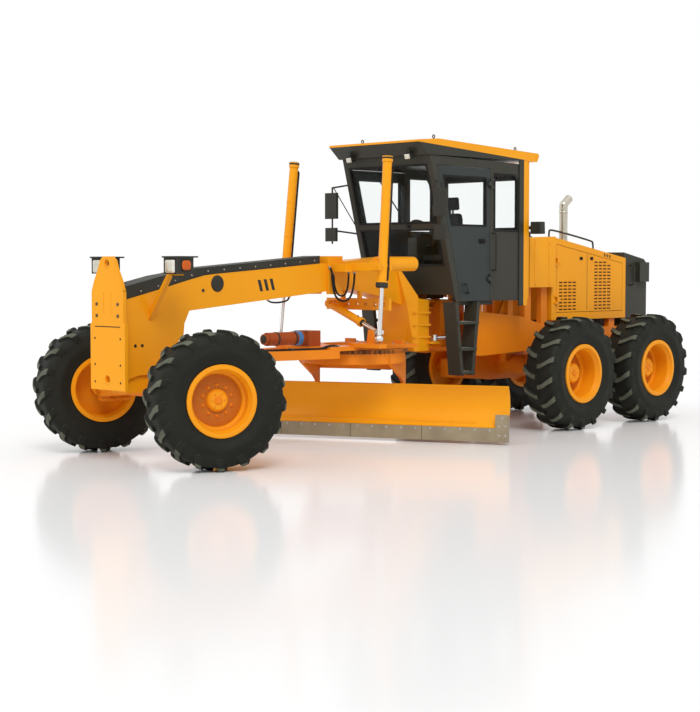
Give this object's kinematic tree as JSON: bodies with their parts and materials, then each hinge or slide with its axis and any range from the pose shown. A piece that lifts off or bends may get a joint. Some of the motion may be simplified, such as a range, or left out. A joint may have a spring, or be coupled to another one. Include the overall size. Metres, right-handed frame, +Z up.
{
  "type": "motor grader",
  "caption": "Articulated road grader: long box beam over a tilting, turning blade on a toothed circle, glazed cab at the pivot, louvred engine hood, tandem rear wheels.",
  "frame": {"origin": "on the ground at the centre of the machine's bounding box", "axes": "+X forward, +Y to the machine's left, +Z up"},
  "size_m": [8.7401, 3.3638, 3.3703],
  "materials": {
    "yellow_paint": "gloss",
    "dark_paint": "satin",
    "worn_steel": "worn",
    "rod_chrome": "polished",
    "glass": "clear",
    "exhaust_steel": "polished",
    "seat_cover": "matt",
    "engine_iron": "matt",
    "drive_paint": "satin",
    "lamp_body": "matt",
    "tyre": "matt",
    "rim_paint": "gloss"
  },
  "bodies": {
    "rear": {"rear_frame": "yellow_paint", "rear_axle": "yellow_paint", "engine": "engine_iron", "hood": "yellow_paint", "shroud": "dark_paint", "tank": "yellow_paint", "exhaust": "exhaust_steel", "cab_shell": "dark_paint", "cab_roof": "yellow_paint", "cab_glass": "glass", "seat": "seat_cover", "steps": "dark_paint", "mirrors": "dark_paint"},
    "front": {"front_frame": "yellow_paint", "front_axle": "yellow_paint", "saddle": "yellow_paint", "top_cover": "dark_paint", "head_lamps": "lamp_body"},
    "knuckle_left": {"knuckle_left": "yellow_paint"},
    "wheel_front_left": {"rim_front_left": "rim_paint", "tyre_front_left": "tyre"},
    "wheel_middle_left": {"rim_middle_left": "rim_paint", "tyre_middle_left": "tyre"},
    "wheel_rear_left": {"rim_rear_left": "rim_paint", "tyre_rear_left": "tyre"},
    "knuckle_right": {"knuckle_right": "yellow_paint"},
    "wheel_front_right": {"rim_front_right": "rim_paint", "tyre_front_right": "tyre"},
    "wheel_middle_right": {"rim_middle_right": "rim_paint", "tyre_middle_right": "tyre"},
    "wheel_rear_right": {"rim_rear_right": "rim_paint", "tyre_rear_right": "tyre"},
    "tie_rod": {"tie_rod": "yellow_paint"},
    "steer_barrel": {"steer_barrel": "yellow_paint"},
    "steer_rod": {"steer_rod": "rod_chrome"},
    "artic_barrel_left": {"artic_barrel_left": "yellow_paint"},
    "artic_rod_left": {"artic_rod_left": "rod_chrome"},
    "artic_barrel_right": {"artic_barrel_right": "yellow_paint"},
    "artic_rod_right": {"artic_rod_right": "rod_chrome"},
    "drawbar_yoke": {"drawbar_yoke": "yellow_paint"},
    "drawbar": {"drawbar": "yellow_paint", "circle_drive": "drive_paint"},
    "circle": {"circle": "worn_steel"},
    "tilt_bracket": {"tilt_bracket": "yellow_paint"},
    "moldboard": {"moldboard": "yellow_paint", "cutting_edge": "worn_steel"},
    "lift_barrel_left": {"lift_barrel_left": "yellow_paint"},
    "lift_rod_left": {"lift_rod_left": "rod_chrome"},
    "lift_barrel_right": {"lift_barrel_right": "yellow_paint"},
    "lift_rod_right": {"lift_rod_right": "rod_chrome"},
    "centre_shift_barrel": {"centre_shift_barrel": "yellow_paint"},
    "centre_shift_rod": {"centre_shift_rod": "rod_chrome"},
    "cab_door_left": {"cab_door_left": "dark_paint", "door_glass_left": "glass"},
    "hood_door_left": {"hood_door_left": "yellow_paint"},
    "cab_door_right": {"cab_door_right": "dark_paint", "door_glass_right": "glass"},
    "hood_door_right": {"hood_door_right": "yellow_paint"}
  },
  "joints": [
    {"name": "frame_articulation", "type": "hinge", "parent": "rear", "child": "front", "pos_m": [-0.375, 0, 1.27], "axis": [0, 0, 1], "range_deg": [-25, 25]},
    {"name": "steering", "type": "hinge", "parent": "front", "child": "knuckle_left", "pos_m": [3.61, 0.8, 0.674], "axis": [0, 0, 1], "range_deg": [-19, 61]},
    {"name": "wheel_front_left_spin", "type": "hinge", "parent": "knuckle_left", "child": "wheel_front_left", "pos_m": [3.70963, 1.05953, 0.674], "axis": [0.3584, 0.9336, 0], "continuous": true},
    {"name": "wheel_middle_left_spin", "type": "hinge", "parent": "rear", "child": "wheel_middle_left", "pos_m": [-1.831, 1.078, 0.674], "axis": [0, 1, 0], "continuous": true},
    {"name": "wheel_rear_left_spin", "type": "hinge", "parent": "rear", "child": "wheel_rear_left", "pos_m": [-3.369, 1.078, 0.674], "axis": [0, 1, 0], "continuous": true},
    {"name": "steering_right", "type": "hinge", "parent": "front", "child": "knuckle_right", "pos_m": [3.61, -0.8, 0.674], "axis": [0, 0, 1], "range_deg": [-19, 61]},
    {"name": "wheel_front_right_spin", "type": "hinge", "parent": "knuckle_right", "child": "wheel_front_right", "pos_m": [3.51037, -1.05953, 0.674], "axis": [0.3584, 0.9336, 0], "continuous": true},
    {"name": "wheel_middle_right_spin", "type": "hinge", "parent": "rear", "child": "wheel_middle_right", "pos_m": [-1.831, -1.078, 0.674], "axis": [0, 1, 0], "continuous": true},
    {"name": "wheel_rear_right_spin", "type": "hinge", "parent": "rear", "child": "wheel_rear_right", "pos_m": [-3.369, -1.078, 0.674], "axis": [0, 1, 0], "continuous": true},
    {"name": "tie_rod_swing", "type": "hinge", "parent": "knuckle_left", "child": "tie_rod", "pos_m": [3.37661, 0.88959, 0.812], "axis": [0, 0, 1], "range_deg": [-61.5, 19.5]},
    {"name": "steer_barrel_swing", "type": "hinge", "parent": "front", "child": "steer_barrel", "pos_m": [3.465, 0.15, 0.622], "axis": [0, 0, 1], "range_deg": [-0.42, 0.92]},
    {"name": "steer_rod_slide", "type": "slide", "parent": "steer_barrel", "child": "steer_rod", "axis": [-0.0826, 0.9966, 0], "range_m": [-0.2256, 0.0717]},
    {"name": "artic_barrel_left_swing", "type": "hinge", "parent": "rear", "child": "artic_barrel_left", "pos_m": [-0.985, 0.325, 1.12], "axis": [0, 0, 1], "range_deg": [-3.74, 3.74]},
    {"name": "artic_rod_left_slide", "type": "slide", "parent": "artic_barrel_left", "child": "artic_rod_left", "axis": [0.9996, -0.0274, 0], "range_m": [-0.1345, 0.1345]},
    {"name": "artic_barrel_right_swing", "type": "hinge", "parent": "rear", "child": "artic_barrel_right", "pos_m": [-0.985, -0.325, 1.12], "axis": [0, 0, 1], "range_deg": [-3.74, 3.74]},
    {"name": "artic_rod_right_slide", "type": "slide", "parent": "artic_barrel_right", "child": "artic_rod_right", "axis": [0.9996, 0.0274, 0], "range_m": [-0.1345, 0.1345]},
    {"name": "drawbar_swing", "type": "hinge", "parent": "front", "child": "drawbar_yoke", "pos_m": [3.33, 0, 0.99], "axis": [0, 0, -1], "range_deg": [-5.5, 5.5]},
    {"name": "drawbar_pitch", "type": "hinge", "parent": "drawbar_yoke", "child": "drawbar", "pos_m": [3.33, 0, 0.99], "axis": [0, 1, 0], "range_deg": [-2, 7]},
    {"name": "circle_turn", "type": "hinge", "parent": "drawbar", "child": "circle", "pos_m": [0.78, 0, 1], "axis": [0, 0, 1], "continuous": true},
    {"name": "blade_pitch", "type": "hinge", "parent": "circle", "child": "tilt_bracket", "pos_m": [0.58514, -0.09086, 0.3], "axis": [-0.4226, 0.9063, 0], "range_deg": [-5, 40]},
    {"name": "blade_side_shift", "type": "slide", "parent": "tilt_bracket", "child": "moldboard", "axis": [-0.4226, 0.9063, 0], "range_m": [-0.55, 0.55]},
    {"name": "lift_barrel_left_swing", "type": "hinge", "parent": "front", "child": "lift_barrel_left", "pos_m": [1.09309, 0.76502, 1.95], "axis": [1, 0, 0], "range_deg": [-15.47, 15.47]},
    {"name": "lift_rod_left_slide", "type": "slide", "parent": "lift_barrel_left", "child": "lift_rod_left", "axis": [0.0912, 0.0253, -0.9955], "range_m": [-0.2677, 0.0779]},
    {"name": "lift_barrel_right_swing", "type": "hinge", "parent": "front", "child": "lift_barrel_right", "pos_m": [1.09309, -0.76502, 1.95], "axis": [1, 0, 0], "range_deg": [-15.47, 15.47]},
    {"name": "lift_rod_right_slide", "type": "slide", "parent": "lift_barrel_right", "child": "lift_rod_right", "axis": [0.0912, -0.0253, -0.9955], "range_m": [-0.2677, 0.0779]},
    {"name": "centre_shift_barrel_swing", "type": "hinge", "parent": "front", "child": "centre_shift_barrel", "pos_m": [1, -0.15, 1.53], "axis": [1, 0, 0], "range_deg": [-5.9, 19.91]},
    {"name": "centre_shift_rod_slide", "type": "slide", "parent": "centre_shift_barrel", "child": "centre_shift_rod", "axis": [0, 0.9297, -0.3683], "range_m": [-0.2089, 0.2089]},
    {"name": "cab_door_left_hinge", "type": "hinge", "parent": "rear", "child": "cab_door_left", "pos_m": [-0.788, 0.705, 2.3], "axis": [0, 0, 1], "range_deg": [0, 95]},
    {"name": "hood_door_left_hinge", "type": "hinge", "parent": "rear", "child": "hood_door_left", "pos_m": [-2.303, 0.515, 1.77], "axis": [0, 0, -1], "range_deg": [0, 100]},
    {"name": "cab_door_right_hinge", "type": "hinge", "parent": "rear", "child": "cab_door_right", "pos_m": [-0.788, -0.705, 2.3], "axis": [0, 0, -1], "range_deg": [0, 95]},
    {"name": "hood_door_right_hinge", "type": "hinge", "parent": "rear", "child": "hood_door_right", "pos_m": [-2.303, -0.515, 1.77], "axis": [0, 0, 1], "range_deg": [0, 100]}
  ],
  "couplings": [
    {"joint": "steering_right", "follows": "steering", "ratio": 1},
    {"joint": "tie_rod_swing", "follows": "steering", "ratio": -1},
    {"joint": "steer_barrel_swing", "follows": "steering", "ratio": 0.01162},
    {"joint": "steer_rod_slide", "follows": "steering", "m_per_rad": -0.21006},
    {"joint": "artic_barrel_left_swing", "follows": "frame_articulation", "ratio": 0.14177},
    {"joint": "artic_rod_left_slide", "follows": "frame_articulation", "m_per_rad": -0.30367},
    {"joint": "artic_barrel_right_swing", "follows": "frame_articulation", "ratio": 0.14177},
    {"joint": "artic_rod_right_slide", "follows": "frame_articulation", "m_per_rad": 0.30367},
    {"joint": "lift_barrel_left_swing", "follows": "drawbar_swing", "ratio": 2.758},
    {"joint": "lift_rod_left_slide", "follows": "drawbar_pitch", "m_per_rad": -2.1748},
    {"joint": "lift_barrel_right_swing", "follows": "drawbar_swing", "ratio": 2.758},
    {"joint": "lift_rod_right_slide", "follows": "drawbar_pitch", "m_per_rad": -2.1748},
    {"joint": "centre_shift_barrel_swing", "follows": "drawbar_pitch", "ratio": 2.8018},
    {"joint": "centre_shift_rod_slide", "follows": "drawbar_swing", "m_per_rad": 2.1555}
  ]
}
